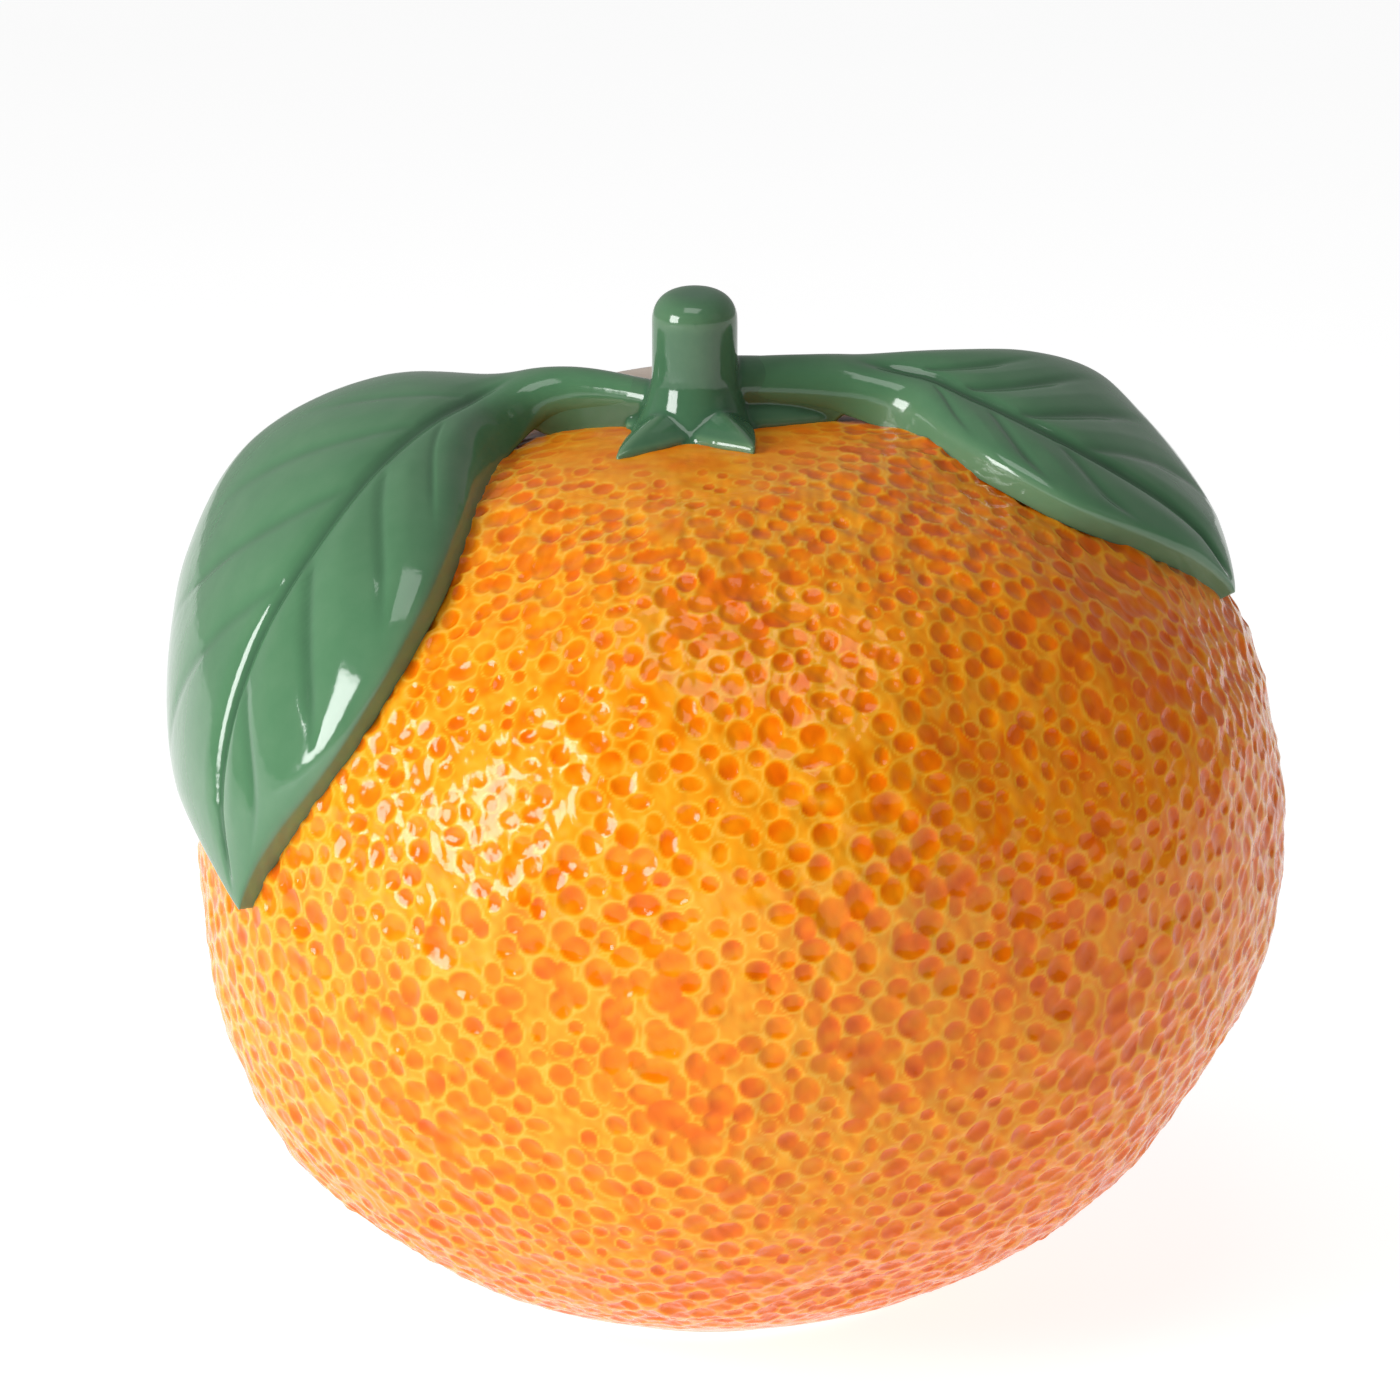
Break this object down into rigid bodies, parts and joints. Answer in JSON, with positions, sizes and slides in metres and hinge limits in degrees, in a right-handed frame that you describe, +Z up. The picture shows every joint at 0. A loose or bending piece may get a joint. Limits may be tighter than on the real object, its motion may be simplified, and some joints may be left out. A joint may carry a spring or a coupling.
{
  "type": "orange-shaped ceramic vase",
  "caption": "Glazed ceramic vase shaped like an orange: hollow dimpled fruit body with a top mouth, stem, calyx and leaves on stalks draped over the shoulders.",
  "frame": {"origin": "on the plane that the vase stands on, under the middle of the vase's bounding box; the centre of the foot ring is 2.55 mm to the left of it", "axes": "+Z up; -Y is the front, where the stem, the calyx and both leaves show; +X to the right seen from the front"},
  "size_m": [0.2049, 0.2, 0.1891],
  "materials": {
    "orange_glaze": "glossy translucent orange glaze, darker where it pools in the dimples and paler on the ridges",
    "stem_glaze": "glossy dark green glaze",
    "leaf_glaze": "glossy mid green glaze, thinner and paler on the veins and edges",
    "bare_clay": "matt unglazed clay, ground flat",
    "inside_glaze": "glossy off-white liner glaze inside the vase"
  },
  "bodies": {
    "root": {"body_shell": "orange_glaze", "foot_ring": "bare_clay", "stem": "stem_glaze", "sepal_front_left": "stem_glaze", "sepal_front_right": "stem_glaze", "sepal_right": "stem_glaze", "sepal_rear": "stem_glaze", "sepal_left": "stem_glaze", "left_petiole": "stem_glaze", "right_petiole": "stem_glaze", "left_leaf": "leaf_glaze", "right_leaf": "leaf_glaze"}
  },
  "joints": []
}
